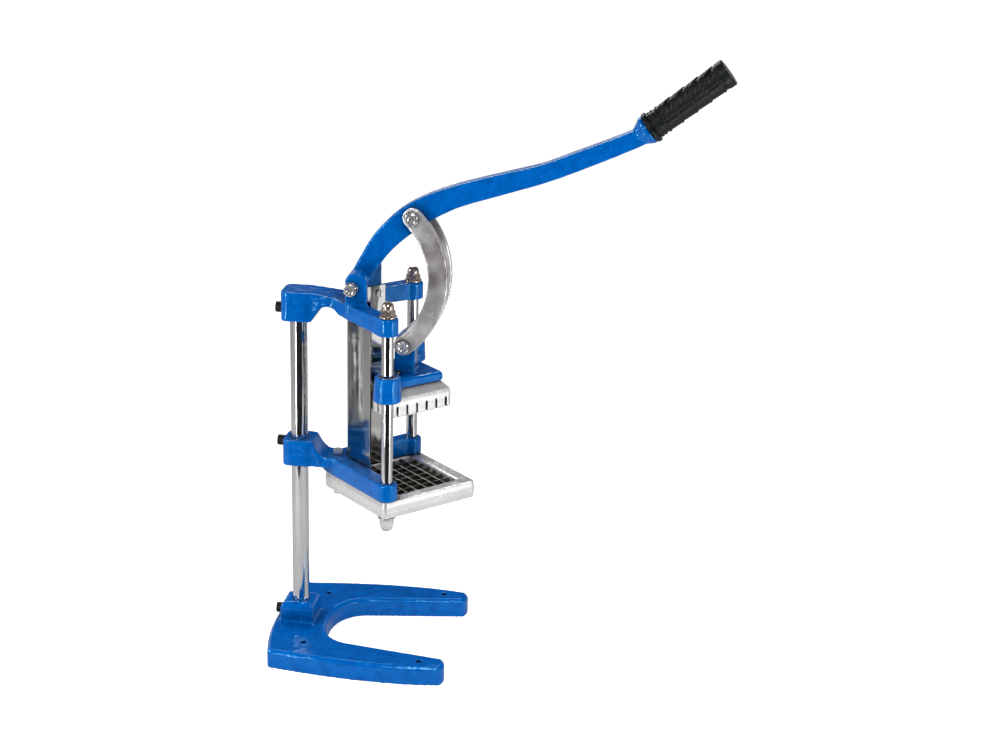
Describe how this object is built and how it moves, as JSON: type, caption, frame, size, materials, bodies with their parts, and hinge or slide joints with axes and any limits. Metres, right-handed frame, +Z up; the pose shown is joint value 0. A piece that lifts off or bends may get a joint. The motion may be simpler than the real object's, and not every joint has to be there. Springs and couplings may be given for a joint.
{
  "type": "french fry cutter",
  "caption": "Bench lever press that pushes a potato down through a crossed blade grid, with a post, guide rods, linked crosshead and slotted pusher.",
  "frame": {"origin": "centre of the post at the underside of the foot, on the bench", "axes": "+Z up along the post, -Y to the front where the lever and the legs of the foot point, +X to the right as seen from the front"},
  "size_m": [0.2068, 0.4849, 0.6788],
  "materials": {
    "blue_paint": "gloss, slightly uneven over a sand casting",
    "chrome": "mirror",
    "cast_aluminium": "polished by hand",
    "stainless": "bright sheet",
    "blade_steel": "satin",
    "zinc_steel": "bright zinc plating",
    "nickel": "bright nickel",
    "black_steel": "black oxide",
    "bronze": "turned",
    "black_rubber": "matt moulding"
  },
  "bodies": {
    "stand": {"base": "blue_paint", "post": "chrome", "lower_bracket": "blue_paint", "upper_bracket": "blue_paint", "post_clamp_screws": "black_steel", "guide_rod_left": "chrome", "guide_rod_right": "chrome", "top_dome_nuts": "nickel", "top_washers": "nickel", "bottom_dome_nuts": "zinc_steel", "bottom_washers": "zinc_steel", "tray": "cast_aluminium", "blades_lower": "blade_steel", "blades_upper": "blade_steel", "blade_retainer": "cast_aluminium", "retainer_screws": "zinc_steel", "tray_bolt": "zinc_steel", "tray_nut": "zinc_steel", "back_guard": "stainless", "guard_screws": "zinc_steel", "pivot_bolt": "zinc_steel", "pivot_nut": "zinc_steel", "pivot_washers": "zinc_steel"},
    "lever_arm": {"lever": "blue_paint", "hub_bush": "bronze", "grip": "black_rubber", "link_top_bolt": "zinc_steel", "link_top_nut": "zinc_steel", "link_washers": "zinc_steel"},
    "links": {"link_left": "cast_aluminium", "link_right": "cast_aluminium", "link_bottom_bolt": "zinc_steel"},
    "slider": {"crosshead": "blue_paint", "slider_bushes": "bronze", "crosshead_pin": "zinc_steel", "pusher": "cast_aluminium", "pusher_screws": "zinc_steel"}
  },
  "joints": [
    {"name": "lever_hinge", "type": "hinge", "parent": "stand", "child": "lever_arm", "pos_m": [0, -0.067, 0.427], "axis": [1, 0, 0], "range_deg": [0, 64.5]},
    {"name": "link_hinge", "type": "hinge", "parent": "lever_arm", "child": "links", "pos_m": [0, -0.1275, 0.501], "axis": [1, 0, 0], "range_deg": [-51.5, 0]},
    {"name": "slider_slide", "type": "slide", "parent": "stand", "child": "slider", "axis": [0, 0, 1], "range_m": [-0.0911, 0]}
  ],
  "couplings": [
    {"joint": "link_hinge", "follows": "lever_hinge", "ratio": -0.793},
    {"joint": "slider_slide", "follows": "lever_hinge", "m_per_rad": -0.0808}
  ]
}
